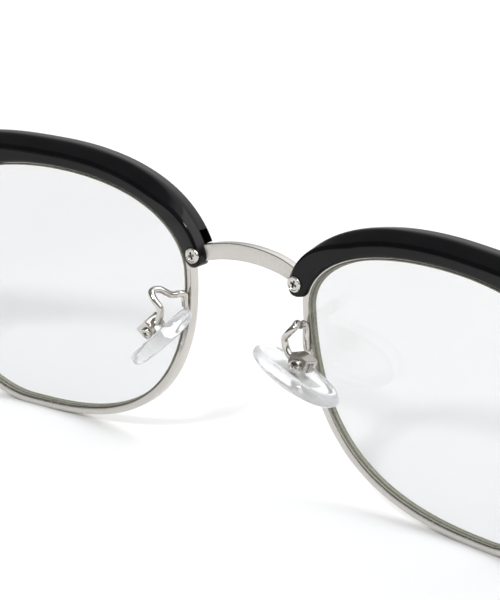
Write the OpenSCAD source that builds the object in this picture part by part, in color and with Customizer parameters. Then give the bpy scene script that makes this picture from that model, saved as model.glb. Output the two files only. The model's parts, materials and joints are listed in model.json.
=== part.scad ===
// Half rim (browline) eyeglasses on their two wire eyewires, temples open.
// +Z up, -Y is the front, +X is the wearer's left. The origin is on the table,
// under the middle of the whole object. Sizes in millimetres.

/* [Lens shape] */
// Distance between the two lenses across the nose
lens_gap = 20.1; // [18:0.1:22]
// Nose side half width of a lens
lens_nose = 25.5; // [24:0.1:26.5]
// Temple side half width of a lens
lens_side = 26; // [25:0.1:27]
// Height of the lens outline above its centre
lens_top = 17.7; // [16:0.1:19]
// Depth of the lens outline below its centre
lens_low = 18.5; // [17:0.1:20]
// Thickness of a lens
lens_thick = 1.9; // [1.7:0.1:2.1]
// Radius of the lens surface
base_curve = 120; // [110:5:200]
// Angle by which each lens turns back towards its temple
wrap_angle = 3.3; // [2:0.1:5]

/* [Eyewire] */
// Depth of the eyewire from front to back
wire_depth = 1.6; // [1.5:0.1:1.8]
// Thickness of the eyewire across its edge
wire_thick = 1.0; // [0.9:0.05:1.2]

/* [Brow] */
// How far the brow stands in front of the lens
brow_front = 3.0; // [2.6:0.1:3.4]
// How far its rear wall stands behind the lens
brow_rear = 1.3; // [1.2:0.05:1.6]
// How far its top stands above the eyewire
brow_top = 2.65; // [2.2:0.05:3.2]
// Half of the front's width over the brow ends
front_half = 68.7; // [67:0.1:70]

/* [Bridge] */
// Height of the bridge strip
bridge_tall = 2.15; // [1.8:0.05:2.6]
// Thickness of the bridge strip
bridge_thick = 1.3; // [1:0.05:1.5]

/* [Nose pads] */
// Length of a nose pad
pad_len = 14; // [12:0.5:15]
// Width of a nose pad
pad_wid = 7.6; // [6.5:0.1:8]
// Thickness of a nose pad
pad_thick = 2.3; // [2:0.1:2.6]
// Diameter of the pad arm wire
arm_dia = 0.95; // [0.8:0.05:1.1]

/* [Temples] */
// Length of a temple along its middle, from the butt joint to the tip
temple_len = 145; // [135:1:150]
// Length of the straight stretch before the ear bend
temple_straight = 88; // [80:1:95]
// Height of the temple at the hinge
temple_tall = 8.4; // [7:0.1:9]
// Thickness of the temple
temple_thick = 4; // [3.6:0.1:4.4]
// Downward slope of the straight stretch
temple_slope = 3.5; // [2:0.1:5]
// Downward angle of the tip behind the ear
tip_angle = 29.2; // [28:0.1:33]

/* [Hidden] */
// Facets of a small round part, and of the large lens surface
fine = 32;
dome_fine = 180;
// Running gap of a pin in its bore, and the gap left between neighbouring pieces
run_gap = 0.05;
fit_gap = 0.08;
// Place of the lens plane's own origin in the object's frame
front_y = -72.6;
lens_x = lens_nose * cos(wrap_angle) + lens_gap / 2;

// Lens outline: four cubic curves through the temple, top, nose and bottom points
side_pt = [lens_side, 3];
top_pt = [-2.3, lens_top];
nose_pt = [-lens_nose, 7];
low_pt = [5.5, -lens_low];
OUTLINE = [
    [side_pt, side_pt + [0, 8.5], top_pt + [17, 0], top_pt],
    [top_pt, top_pt - [21.2, 0], nose_pt + [0, 2.8], nose_pt],
    [nose_pt, nose_pt - [0, 25.7], low_pt - [8, 0], low_pt],
    [low_pt, low_pt + [10, 0], side_pt - [0, 11.5], side_pt]
];
outline_steps = 60;

function bezier(c, t) = pow(1 - t, 3) * c[0] + 3 * pow(1 - t, 2) * t * c[1]
    + 3 * (1 - t) * t * t * c[2] + pow(t, 3) * c[3];
function slope(c, t) = pow(1 - t, 2) * (c[1] - c[0]) + 2 * (1 - t) * t * (c[2] - c[1])
    + t * t * (c[3] - c[2]);
function unit(v) = v / norm(v);
// Outline point at s (0 temple, 1 top, 2 nose, 3 bottom), moved out by n
function out_dir(d) = unit([d[1], -d[0]]);
function quarter(s) = min(3, floor(s));
function rim_point(s, n) = bezier(OUTLINE[quarter(s)], s - quarter(s))
    + n * out_dir(slope(OUTLINE[quarter(s)], s - quarter(s)));
// A point of the lens plane, y behind the lens's middle surface, in the front's frame
function dish(p) = base_curve - sqrt(base_curve * base_curve - p * p);
function front_point(p, y) = let (d = y + dish(p)) [
    p[0] * cos(wrap_angle) - d * sin(wrap_angle) + lens_x,
    p[0] * sin(wrap_angle) + d * cos(wrap_angle) + front_y,
    p[1] + lens_low
];

// A solid swept through rings of points; caps are triangles over one ring
// Rings may run either way round: the faces are turned to look outwards
module swept(rings, cap = undef, loop = false) {
    m = len(rings[0]);
    k = len(rings);
    last = loop ? k : k - 1;
    fan = is_undef(cap) ? [for (i = [1 : m - 2]) [0, i, i + 1]] : cap;
    sides = [for (r = [0 : last - 1], i = [0 : m - 1]) each [
        [r * m + i, ((r + 1) % k) * m + i, r * m + (i + 1) % m],
        [r * m + (i + 1) % m, ((r + 1) % k) * m + i, ((r + 1) % k) * m + (i + 1) % m]
    ]];
    ends = loop ? [] : [for (f = fan) each [[f[0], f[1], f[2]],
        [(k - 1) * m + f[0], (k - 1) * m + f[2], (k - 1) * m + f[1]]]];
    points = [for (r = rings) each r];
    faces = concat(sides, ends);
    inward = [for (f = faces) cross(points[f[0]], points[f[1]]) * points[f[2]]] * [for (f = faces) 1] > 0;
    polyhedron(points = points, faces = inward ? [for (f = faces) [f[0], f[2], f[1]]] : faces);
}

// Smooth curve through a list of points
function through(pts, i, t) = let (
    n = len(pts) - 1,
    a = pts[max(0, i - 1)], b = pts[i], c = pts[min(n, i + 1)], d = pts[min(n, i + 2)]
) 0.5 * (2 * b + (c - a) * t + (2 * a - 5 * b + 4 * c - d) * t * t
    + (3 * b - 3 * c + d - a) * t * t * t);
function smooth_path(pts, per) = concat(
    [for (i = [0 : len(pts) - 2], k = [0 : per - 1]) through(pts, i, k / per)],
    [pts[len(pts) - 1]]);
// Round wire rings along a path that never runs along X
function wire_ring(path, i, r, sides) = let (
    t = unit(path[min(i + 1, len(path) - 1)] - path[max(i - 1, 0)]),
    e = unit(cross(t, [1, 0, 0])),
    f = cross(t, e)
) [for (k = [0 : sides - 1]) path[i] + r * (e * cos(360 * k / sides) + f * sin(360 * k / sides))];

module on_side(side) {
    if (side > 0) children();
    else mirror([1, 0, 0]) children();
}
module in_front() {
    translate([0, front_y, lens_low]) children();
}

// ---- lenses ----
function lens_loop(n) = [for (k = [0 : outline_steps - 1]) rim_point(4 * k / outline_steps, n)];
module lens_shell(n, half) {
    intersection() {
        translate([0, base_curve / 4, 0])
            rotate([90, 0, 0])
                linear_extrude(base_curve / 2)
                    polygon(lens_loop(n));
        translate([0, base_curve, 0])
            difference() {
                sphere(base_curve + half, $fn = dome_fine);
                sphere(base_curve - half, $fn = dome_fine);
            }
    }
}
// The tongue of the lens edge that sits in the eyewire's groove
tongue_half = 0.3;
groove_half = tongue_half + fit_gap;
groove_floor = wire_thick / 2;
module lens(side) {
    color([0.93, 0.95, 0.96, 0.35])
        on_side(side)
            in_front()
                translate([lens_x, 0, 0])
                    rotate([0, 0, wrap_angle]) {
                        lens_shell(-wire_thick - fit_gap, lens_thick / 2);
                        lens_shell(-groove_floor - fit_gap, tongue_half);
                    }
}

// ---- eyewires: a channel bent round the lens, split at the temple side ----
split_at = 0.07;
split_gap = 0.004;
WIRE_CAP = [[0, 1, 4], [0, 4, 5], [1, 2, 3], [1, 3, 4], [0, 5, 6], [0, 6, 7]];
function wire_section(s) = let (h = wire_depth / 2) [for (q = [
    [0, -h], [0, h], [-wire_thick, h], [-wire_thick, groove_half + 0.1],
    [-groove_floor, groove_half], [-groove_floor, -groove_half],
    [-wire_thick, -groove_half - 0.1], [-wire_thick, -h]
]) front_point(rim_point(s, q[0]), q[1])];
function wire_at(k) = let (s = split_at + split_gap + (4 - 2 * split_gap) * k / outline_steps)
    s >= 4 ? s - 4 : s;
module eyewire(side) {
    color([0.80, 0.78, 0.76])
        on_side(side)
            swept([for (k = [0 : outline_steps]) wire_section(wire_at(k))], WIRE_CAP);
}
// The room that the eyewire and the lens take up inside the brow
room_deep = -3.5;
module wire_room() {
    h = wire_depth / 2 + fit_gap;
    m = lens_thick / 2 + fit_gap;
    n = -wire_thick;
    swept([for (k = [0 : outline_steps - 1]) [for (q = [
        [fit_gap, -h], [fit_gap, h], [n, h], [n, m], [room_deep, m], [room_deep, -m], [n, -m], [n, -h]
    ]) front_point(rim_point(4 * k / outline_steps, q[0]), q[1])]], loop = true);
}

// ---- brow: runs over the eyewire from the nose tab to the end block ----
// Middle line of the brow: the eyewire's outer edge, then a curve out to the end block
nose_end = 1.93;
leave_at = 0.6;
leave_pt = rim_point(leave_at, 0);
leave_dir = -unit(slope(OUTLINE[0], leave_at));
end_pt = [front_half - lens_x + 0.3, 10.6];
BROW_END = [leave_pt, leave_pt + 7 * leave_dir, end_pt - [6.5, -0.8], end_pt];
brow_rings = 30;
end_rings = 14;
// Rear plane of the end block, where the temple butts
butt_y = 8.0;
// Rise of a value from 0 to 1 between a and b
function rise(x, a, b) = let (t = min(1, max(0, (x - a) / (b - a)))) t * t * (3 - 2 * t);
// Shape of the brow's section at a point p of its middle line, out direction o
// f is 0 at the rounded nose end and 1 past it
function brow_section(p, o, f) = let (
    g = rise(p[0], 4, 30),
    c = 1.0,
    hi = brow_top + 2.7 * g,
    lip = 0.83 + 2.2 * g,
    low = 1.6 + 1.4 * g,
    back = front_point(p, 0)[1] - front_y,
    rear = brow_rear + (butt_y - back - brow_rear) * rise(p[0], 12, 22),
    front = brow_front
) [for (q = [
    [-lip, rear - 0.3], [-lip + 0.4, rear], [1.3 + 2 * g, rear], [hi - 0.9, rear - 0.15],
    [hi - 0.5, rear - 0.5], [hi - 0.05, -1.0], [hi, -1.8], [hi - 0.25, 0.4 - front],
    [hi - 1.0, -front], [0.5 - low, -front], [-low, 0.4 - front], [-low, -1.1]
]) front_point(p + (c + (q[0] - c) * f) * o, q[1])];
function round_end(a, r) = a >= r ? 1 : sqrt(1 - pow((r - max(a, 0.08)) / r, 2));
function brow_s(k) = nose_end + (leave_at - nose_end) * pow(k / brow_rings, 1.15);
BROW = concat(
    [for (k = [0 : brow_rings]) let (
        s = brow_s(k),
        a = norm(rim_point(s, 0) - rim_point(nose_end, 0))
    ) brow_section(rim_point(s, 0), out_dir(slope(OUTLINE[quarter(s)], s - quarter(s))), round_end(a, 1.9))],
    [for (k = [1 : end_rings]) let (t = k / end_rings)
        brow_section(bezier(BROW_END, t), -out_dir(slope(BROW_END, t)), 1)]
);
// Hole centres of the two brow screws, in the front's frame
nose_screw = [9.0, 9.9];
side_screw = [60.1, 12.2];
screw_y = 3.15;
hole_r = 0.62;
module brow(side) {
    color([0.03, 0.03, 0.035])
        on_side(side)
            difference() {
                swept(BROW);
                wire_room();
                bridge_solid(fit_gap);
                in_front() {
                    translate([nose_screw[0], 0, nose_screw[1]])
                        rotate([-90, 0, 0])
                            cylinder(h = 6, r = hole_r, $fn = fine);
                    translate([side_screw[0], 3.2, side_screw[1]])
                        rotate([-90, 0, 0])
                            cylinder(h = 6, r = hole_r, $fn = fine);
                    plate_solid(fit_gap);
                    translate([-1, butt_y, -1])
                        cube([front_half + 2, 8, 40]);
                    translate([front_half, -10, -1])
                        cube([5, 30, 40]);
                    lock_room();
                }
            }
}

// ---- bridge: one bent strip, soldered to both eyewires ----
bridge_reach = 10.25;
bridge_rings = 24;
function bridge_mid(x) = [x, 0.3 + 0.95 * pow(abs(x) / bridge_reach, 2.5),
    11.2 - 1.05 * pow(abs(x) / 7.5, 2)];
function bridge_ring(x, g) = let (
    m = bridge_mid(x), h = bridge_tall / 2 + g, w = bridge_thick / 2 + g, e = 0.25
) [for (q = [[-w + e, -h], [w, -h], [w, h], [-w + e, h], [-w, h - e], [-w, -h + e]])
    [m[0], m[1] + q[0] + front_y, m[2] + q[1] + lens_low]];
module bridge_solid(g) {
    reach = bridge_reach + g;
    swept([for (k = [0 : bridge_rings]) bridge_ring(-reach + 2 * reach * k / bridge_rings, g)]);
}
module bridge() {
    color([0.80, 0.78, 0.76])
        difference() {
            bridge_solid(0);
            for (side = [1, -1])
                on_side(side) {
                    wire_room();
                    in_front()
                        translate([nose_screw[0], -3, nose_screw[1]])
                            rotate([-90, 0, 0])
                                cylinder(h = 8, r = hole_r, $fn = fine);
                }
        }
}

// ---- screws with a chamfered head and a cross recess: head up, its seat at the origin ----
module cross_screw(head_r, head_h, shank_r, shank_len) {
    difference() {
        union() {
            translate([0, 0, -shank_len])
                cylinder(h = shank_len + head_h / 2, r = shank_r, $fn = fine);
            cylinder(h = head_h * 0.6, r = head_r, $fn = fine);
            translate([0, 0, head_h * 0.6])
                cylinder(h = head_h * 0.4, r1 = head_r, r2 = head_r * 0.7, $fn = fine);
        }
        for (a = [0, 90])
            rotate([0, 0, a + 20])
                translate([-head_r * 0.6, -0.14, head_h * 0.4])
                    cube([head_r * 1.2, 0.28, head_h]);
    }
}
module brow_screw_nose(side) {
    color([0.82, 0.80, 0.78])
        on_side(side)
            in_front()
                translate([nose_screw[0], screw_y, nose_screw[1]])
                    rotate([-90, 0, 0])
                        cross_screw(1.1, 0.4, hole_r - 0.03, 2.2);
}
module brow_screw_side(side) {
    color([0.82, 0.80, 0.78])
        on_side(side)
            in_front()
                translate([side_screw[0], butt_y, side_screw[1]])
                    rotate([-90, 0, 0])
                        cross_screw(0.95, 0.35, hole_r - 0.03, 3.6);
}

// ---- end piece: a plate let into the brow's rear, with a foot to the rim lock ----
hinge_at = [63.5, 9.4];
hinge_z = 11.8;
plate_x = [58.6, 64.7];
plate_z = [6.0, 15.4];
plate_thick = 1.0;
foot_z = [4.9, 6.8];
module plate_solid(g) {
    translate([plate_x[0] - g, butt_y - plate_thick - g, plate_z[0] - g])
        cube([plate_x[1] - plate_x[0] + 2 * g, plate_thick + 2 * g, plate_z[1] - plate_z[0] + 2 * g]);
}
module endpiece(side) {
    color([0.80, 0.78, 0.76])
        on_side(side)
            in_front()
                difference() {
                    union() {
                        plate_solid(0);
                        translate([lock_x[0] + 1, lock_y + lock_half, foot_z[0]])
                            cube([2.4, butt_y - lock_y - lock_half, foot_z[1] - foot_z[0]]);
                    }
                    translate([side_screw[0], 4, side_screw[1]])
                        rotate([-90, 0, 0])
                            cylinder(h = 6, r = hole_r, $fn = fine);
                }
}

// ---- rim lock: two blocks on the eyewire's ends, drawn together by a screw ----
lock_x = [60.9, 64.5];
lock_y = 4.6;
lock_z = 4.7;
lock_tall = 2.1;
lock_half = 1.25;
lock_gap = 0.16;
lock_screw_r = 0.5;
module lock_block(z, bore) {
    difference() {
        translate([lock_x[0], lock_y - lock_half, z])
            cube([lock_x[1] - lock_x[0], 2 * lock_half, lock_tall]);
        translate([lock_x[0] + 2.2, lock_y, z - 1])
            cylinder(h = lock_tall + 2, r = bore, $fn = fine);
    }
}
module lock_room() {
    translate([lock_x[0] - 0.3, lock_y - 1.4, lock_z - lock_tall - 1])
        cube([lock_x[1] - lock_x[0] + 0.5, 2.8, 2 * lock_tall + 1.3]);
}
module rim_lock_upper(side) {
    color([0.80, 0.78, 0.76])
        on_side(side)
            difference() {
                in_front()
                    lock_block(lock_z + lock_gap / 2, lock_screw_r + 0.03);
                wire_room();
            }
}
module rim_lock_lower(side) {
    color([0.80, 0.78, 0.76])
        on_side(side)
            difference() {
                in_front()
                    lock_block(lock_z - lock_gap / 2 - lock_tall, lock_screw_r + 0.03);
                wire_room();
            }
}
module rim_lock_screw(side) {
    color([0.82, 0.80, 0.78])
        on_side(side)
            in_front()
                translate([lock_x[0] + 2.2, lock_y, lock_z - lock_gap / 2 - lock_tall])
                    rotate([180, 0, 0])
                        cross_screw(0.85, 0.35, lock_screw_r, 2 * lock_tall);
}

// ---- hinge: two knuckles on the front, one on the temple, a screw down through them ----
knuckle_r = 1.25;
knuckle_tall = 1.9;
knuckle_gap = 0.1;
hinge_pin_r = 0.7;
function knuckle_z(i) = hinge_z + (i - 1) * (knuckle_tall + knuckle_gap) - knuckle_tall / 2;
module knuckle(i, bore) {
    translate([hinge_at[0], hinge_at[1], knuckle_z(i)])
        difference() {
            children();
            translate([0, 0, -1])
                cylinder(h = knuckle_tall + 2, r = bore, $fn = fine);
        }
}
module hinge_front(side) {
    color([0.80, 0.78, 0.76])
        on_side(side)
            in_front()
                for (i = [0, 2])
                    knuckle(i, hinge_pin_r + 0.02)
                        union() {
                            cylinder(h = knuckle_tall, r = knuckle_r, $fn = fine);
                            translate([-knuckle_r, butt_y - hinge_at[1], 0])
                                cube([2 * knuckle_r, hinge_at[1] - butt_y, knuckle_tall]);
                        }
}
module hinge_screw(side) {
    color([0.82, 0.80, 0.78])
        on_side(side)
            in_front()
                translate([hinge_at[0], hinge_at[1], knuckle_z(2) + knuckle_tall])
                    cross_screw(1.1, 0.4, hinge_pin_r, 3 * knuckle_tall + 2 * knuckle_gap);
}
// Leaf of the temple's half: let into the temple's inner face
leaf_x = [64.3, 65.3];
leaf_from = 0.6;
leaf_end = 19;
leaf_tall = 4.2;
module leaf_solid(g) {
    y = hinge_at[1] + leaf_from - g;
    translate([leaf_x[0], y, hinge_z - leaf_tall / 2 - g])
        cube([leaf_x[1] - leaf_x[0] + g, leaf_end + g - y, leaf_tall + 2 * g]);
}
rivet_y = [13.6, 17];
rivet_r = 0.55;
module rivet_holes(r) {
    for (y = rivet_y)
        translate([leaf_x[0] - 1, y, hinge_z])
            rotate([0, 90, 0])
                cylinder(h = 4, r = r, $fn = fine);
}
module hinge_temple(side) {
    color([0.80, 0.78, 0.76])
        on_side(side)
            in_front()
                difference() {
                    union() {
                        knuckle(1, hinge_pin_r + run_gap)
                            union() {
                                cylinder(h = knuckle_tall, r = knuckle_r, $fn = fine);
                                translate([0, leaf_from, 0])
                                    cube([leaf_x[1] - hinge_at[0], 1, knuckle_tall]);
                            }
                        leaf_beyond();
                    }
                    rivet_holes(rivet_r + 0.02);
                }
}
// The leaf starts behind the front's knuckles, so that it swings clear of them
module leaf_beyond() {
    intersection() {
        leaf_solid(0);
        translate([leaf_x[0] - 1, hinge_at[1] + knuckle_r + 0.25, 0])
            cube([5, 20, 30]);
    }
}
module temple_rivets(side) {
    color([0.82, 0.80, 0.78])
        on_side(side)
            in_front()
                for (y = rivet_y)
                    translate([leaf_x[0], y, hinge_z])
                        rotate([0, 90, 0]) {
                            translate([0, 0, -0.3])
                                cylinder(h = 0.3, r = rivet_r + 0.25, $fn = fine);
                            translate([0, 0, -0.05])
                                cylinder(h = 2.6, r = rivet_r, $fn = fine);
                        }
}

// ---- temple: a tapering bar that bends down behind the ear ----
temple_in = 64.9;
temple_y = butt_y + 0.2;
temple_rings = 44;
bend_r = 42;
bend_len = bend_r * (tip_angle - temple_slope) * PI / 180;
// Middle line of the temple at length s: [back, down, lean towards the head]
function bend_at(s) = min(bend_len, max(0, s - temple_straight)) / bend_r * 180 / PI;
function temple_mid(s) = let (
    a = temple_slope,
    b = bend_at(s),
    rest = max(0, s - temple_straight - bend_len),
    l = min(s, temple_straight)
) [
    l * cos(a) + bend_r * (sin(a + b) - sin(a)) + rest * cos(a + b),
    -l * sin(a) - bend_r * (cos(a) - cos(a + b)) - rest * sin(a + b),
    3 * pow(max(0, s - 90) / (temple_len - 90), 2)
];
function temple_h(s) = temple_tall - 3.6 * rise(s, 4, 62) + 0.9 * rise(s, 96, 138);
function temple_w(s) = temple_thick - 1.0 * rise(s, 10, 80);
// Round the last few millimetres of the tip
function tip_scale(s, r) = s < temple_len - r ? 1
    : sqrt(1 - pow((s - temple_len + r) / r, 2) * 0.985);
function squircle(k, sides) = let (c = cos(360 * k / sides), d = sin(360 * k / sides))
    [sign(c) * pow(abs(c), 0.55), sign(d) * pow(abs(d), 0.55)];
function bar_ring(s, w, h, x, sides) = let (
    m = temple_mid(s),
    a = temple_slope + bend_at(s)
) [for (k = [0 : sides - 1]) let (q = squircle(k + 0.5, sides)) [
    x - m[2] + q[0] * w / 2,
    temple_y + m[0] + q[1] * h / 2 * sin(a) * (s < 1 ? 0 : 1),
    hinge_z + m[1] + q[1] * h / 2 * cos(a)
]];
function temple_s(k) = temple_len * (k < temple_rings - 8 ? k / (temple_rings - 8) * 0.965
    : 0.965 + 0.035 * sin(90 * (k - temple_rings + 8) / 8));
module temple(side) {
    color([0.03, 0.03, 0.035])
        on_side(side)
            in_front()
                difference() {
                    swept([for (k = [0 : temple_rings]) let (s = temple_s(k), e = tip_scale(s, 5))
                        bar_ring(s, temple_w(s) * e, temple_h(s) * e, temple_in + temple_thick / 2, 12)]);
                    leaf_solid(fit_gap);
                    rivet_holes(rivet_r + 0.02);
                    core_solid(-1, fit_gap);
                }
}
// ---- core wire inside the temple, behind the hinge leaf's plate ----
// Its channel is open at the butt face, where the wire is driven in
core_from = 0.3;
core_to = 128;
core_rings = 30;
module core_solid(from, g) {
    swept([for (k = [0 : core_rings]) let (s = from + (core_to + g - from) * k / core_rings)
        bar_ring(s, 1.0 + 2 * g, 2.0 + 2 * g, temple_in + temple_thick / 2 + 0.6, 4)]);
}
module temple_core(side) {
    color([0.72, 0.71, 0.70])
        on_side(side)
            in_front()
                difference() {
                    core_solid(core_from, 0);
                    rivet_holes(rivet_r + 0.02);
                }
}

// ---- pad arms: wires soldered to the eyewire, bent back, round and down to the pad box ----
ARM = [
    [10.7, 2.55, 4.1], [10.8, 3.3, 4.65], [11.2, 4.5, 4.75], [12.0, 5.8, 5.6], [12.45, 6.8, 5.4],
    [11.7, 7.1, 4.5], [10.9, 6.9, 3.55], [11.0, 6.8, 2.4], [11.6, 6.7, 1.4]
];
arm_shift = 0.3;
// Height of the lower end of each arm's foot, which runs up the eyewire to the first of these points
function foot_low(side) = side > 0 ? 2.1 : 0.9;
// Middle of each pad box, and how each pad is turned at rest: splay, turn and lean
box_left = [13.1, 6.25, -0.2];
box_right = [13.2, 6.2, 0.75];
pose_left = [48, 17, -11];
pose_right = [70, -13, 0];
function box_of(side) = side > 0 ? box_left : box_right;
function pose_of(side) = side > 0 ? pose_left : pose_right;
function turn_z(p, a) = [p[0] * cos(a) - p[1] * sin(a), p[0] * sin(a) + p[1] * cos(a), p[2]];
function turn_y(p, a) = [p[0] * cos(a) + p[2] * sin(a), p[1], -p[0] * sin(a) + p[2] * cos(a)];
function turn_x(p, a) = [p[0], p[1] * cos(a) - p[2] * sin(a), p[1] * sin(a) + p[2] * cos(a)];
// A point of the pad's own frame (+X mount side, +Y screw, -Z lower end) in the front's frame
function pad_point(side, p) = let (a = pose_of(side))
    box_of(side) + turn_y(turn_z(turn_x(p, a[2]), a[1]), -a[0]);
module at_pad(side) {
    a = pose_of(side);
    translate(box_of(side))
        rotate([0, -a[0], 0])
            rotate([0, 0, a[1]])
                rotate([a[2], 0, 0])
                    children();
}
box_half = 1.3;
arm_sides = 8;
function arm_points(side) = concat(
    [[10.8, 2.4, foot_low(side)], [10.75, 2.5, (foot_low(side) + ARM[0][2]) / 2]],
    [for (p = ARM) p + [0, 0.6, -1] * arm_shift * side * rise(p[1], 2.3, 3.2)],
    [pad_point(side, [0.45, 0, box_half + 0.3])]);
// The last short stretch stands square on the box
module pad_arm(side) {
    path = concat(smooth_path(arm_points(side), 4), [pad_point(side, [0.45, 0, box_half])]);
    color([0.80, 0.78, 0.76])
        on_side(side)
            in_front()
                swept([for (i = [0 : len(path) - 1]) wire_ring(path, i, arm_dia / 2, arm_sides)]);
}
// ---- pad boxes: two cheeks, a web over them and a nose side wall ----
cheek_in = 0.65;
cheek_out = 1.25;
web_in = 0.95;
web_out = 1.35;
cheek_low = 0.85;
pad_pin_r = 0.4;
module pad_box(side) {
    color([0.80, 0.78, 0.76])
        on_side(side)
            in_front()
                at_pad(side)
                    difference() {
                        translate([-cheek_low, -cheek_out, -box_half])
                            cube([cheek_low + web_out, 2 * cheek_out, 2 * box_half]);
                        translate([-cheek_low - 1, -cheek_in, -box_half - 1])
                            cube([cheek_low + web_in + 1, 2 * cheek_in, 2 * box_half + 0.65]);
                        translate([-cheek_low - 1, -cheek_in, 0])
                            cube([cheek_low + 0.8, 2 * cheek_in, box_half + 1]);
                        rotate([-90, 0, 0])
                            translate([0, 0, -2])
                                cylinder(h = 4, r = pad_pin_r + 0.02, $fn = fine);
                    }
}
module pad_screw(side) {
    color([0.82, 0.80, 0.78])
        on_side(side)
            in_front()
                at_pad(side)
                    translate([0, cheek_out, 0])
                        rotate([-90, 0, 0])
                            cross_screw(0.8, 0.4, pad_pin_r, 2 * cheek_out);
}
// ---- pad: clear silicone oval with a metal insert in its recessed mount side ----
pad_drop = 1.9;
pad_around = 28;
pad_face = 0.65;
// Outline radius of the pad at angle a, size f
function pad_ring(x, f, around) = [for (k = [0 : around - 1]) let (a = 360 * k / around) [
    x,
    f * pad_wid / 2 * sign(cos(a)) * pow(abs(cos(a)), 0.9),
    f * pad_len / 2 * sign(sin(a)) * pow(abs(sin(a)), 0.95)
]];
module pad_solid() {
    h = pad_thick / 2;
    swept([for (q = [[-h, 0.62], [-h * 0.85, 0.8], [-h * 0.4, 0.95], [h * 0.1, 1], [h * 0.6, 0.97],
        [h, 0.86], [pad_face, 0.72]]) pad_ring(q[0], q[1], pad_around)]);
}
insert_len = 6.5;
insert_wid = 2.6;
insert_thick = 0.4;
insert_sink = 0.1;
module insert_plate(g) {
    w = insert_wid + 2 * g;
    l = insert_len + 2 * g;
    translate([pad_face - insert_sink - insert_thick - g, -w / 2, -l / 2])
        cube([insert_thick + (g > 0 ? 1 : 0), w, l]);
}
module nose_pad(side) {
    color([0.93, 0.94, 0.95, 0.6])
        on_side(side)
            in_front()
                at_pad(side)
                    translate([-pad_drop, 0, 0])
                        difference() {
                            pad_solid();
                            insert_plate(0.05);
                        }
}
module pad_insert(side) {
    tab_r = 0.8;
    tab_half = cheek_in - 0.1;
    color([0.74, 0.74, 0.73])
        on_side(side)
            in_front()
                at_pad(side)
                    difference() {
                        union() {
                            translate([-pad_drop, 0, 0])
                                insert_plate(0);
                            translate([-pad_drop + pad_face - insert_sink - 0.05, -tab_half, -tab_r])
                                cube([pad_drop - pad_face + insert_sink + 0.05, 2 * tab_half, 2 * tab_r]);
                            translate([0, -tab_half, 0])
                                rotate([-90, 0, 0])
                                    cylinder(h = 2 * tab_half, r = tab_r, $fn = fine);
                        }
                        rotate([-90, 0, 0])
                            translate([0, 0, -2])
                                cylinder(h = 4, r = pad_pin_r + run_gap, $fn = fine);
                    }
}

lens(1);  // lens_left
lens(-1);  // lens_right
eyewire(1);  // eyewire_left
eyewire(-1);  // eyewire_right
rim_lock_upper(1);  // rim_lock_upper_left
rim_lock_upper(-1);  // rim_lock_upper_right
rim_lock_lower(1);  // rim_lock_lower_left
rim_lock_lower(-1);  // rim_lock_lower_right
rim_lock_screw(1);  // rim_lock_screw_left
rim_lock_screw(-1);  // rim_lock_screw_right
bridge();
brow(1);  // brow_left
brow(-1);  // brow_right
brow_screw_nose(1);  // brow_screw_nose_left
brow_screw_nose(-1);  // brow_screw_nose_right
brow_screw_side(1);  // brow_screw_side_left
brow_screw_side(-1);  // brow_screw_side_right
endpiece(1);  // endpiece_left
endpiece(-1);  // endpiece_right
hinge_front(1);  // hinge_front_left
hinge_front(-1);  // hinge_front_right
hinge_screw(1);  // hinge_screw_left
hinge_screw(-1);  // hinge_screw_right
hinge_temple(1);  // hinge_temple_left
hinge_temple(-1);  // hinge_temple_right
temple(1);  // temple_left
temple(-1);  // temple_right
temple_core(1);  // temple_core_left
temple_core(-1);  // temple_core_right
temple_rivets(1);  // temple_rivets_left
temple_rivets(-1);  // temple_rivets_right
pad_arm(1);  // pad_arm_left
pad_arm(-1);  // pad_arm_right
pad_box(1);  // pad_box_left
pad_box(-1);  // pad_box_right
pad_screw(1);  // pad_screw_left
pad_screw(-1);  // pad_screw_right
nose_pad(1);  // nose_pad_left
nose_pad(-1);  // nose_pad_right
pad_insert(1);  // pad_insert_left
pad_insert(-1);  // pad_insert_right
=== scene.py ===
import json
import math

import bmesh
import bpy
from mathutils import Matrix, Vector


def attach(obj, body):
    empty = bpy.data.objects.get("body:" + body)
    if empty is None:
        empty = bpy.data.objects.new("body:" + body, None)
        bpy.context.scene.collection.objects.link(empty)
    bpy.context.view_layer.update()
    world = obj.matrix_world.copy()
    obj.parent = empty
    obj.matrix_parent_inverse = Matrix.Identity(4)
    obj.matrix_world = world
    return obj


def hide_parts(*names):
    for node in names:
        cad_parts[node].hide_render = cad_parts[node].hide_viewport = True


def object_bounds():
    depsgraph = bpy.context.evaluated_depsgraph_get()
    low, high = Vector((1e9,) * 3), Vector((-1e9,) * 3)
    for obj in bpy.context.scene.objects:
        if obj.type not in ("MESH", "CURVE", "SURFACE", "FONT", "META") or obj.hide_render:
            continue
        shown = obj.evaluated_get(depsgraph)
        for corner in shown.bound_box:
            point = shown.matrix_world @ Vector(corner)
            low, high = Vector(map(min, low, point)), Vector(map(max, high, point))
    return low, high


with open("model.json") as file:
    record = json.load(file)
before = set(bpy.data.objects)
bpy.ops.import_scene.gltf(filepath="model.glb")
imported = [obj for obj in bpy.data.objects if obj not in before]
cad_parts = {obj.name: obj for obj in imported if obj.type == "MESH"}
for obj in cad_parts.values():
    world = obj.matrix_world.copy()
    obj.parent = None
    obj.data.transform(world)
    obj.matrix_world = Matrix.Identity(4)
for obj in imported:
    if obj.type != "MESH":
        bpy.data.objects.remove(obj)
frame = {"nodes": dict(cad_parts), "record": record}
cad_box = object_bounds()
MM = 0.001
SIDES = {"left": 1, "right": -1}

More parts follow.
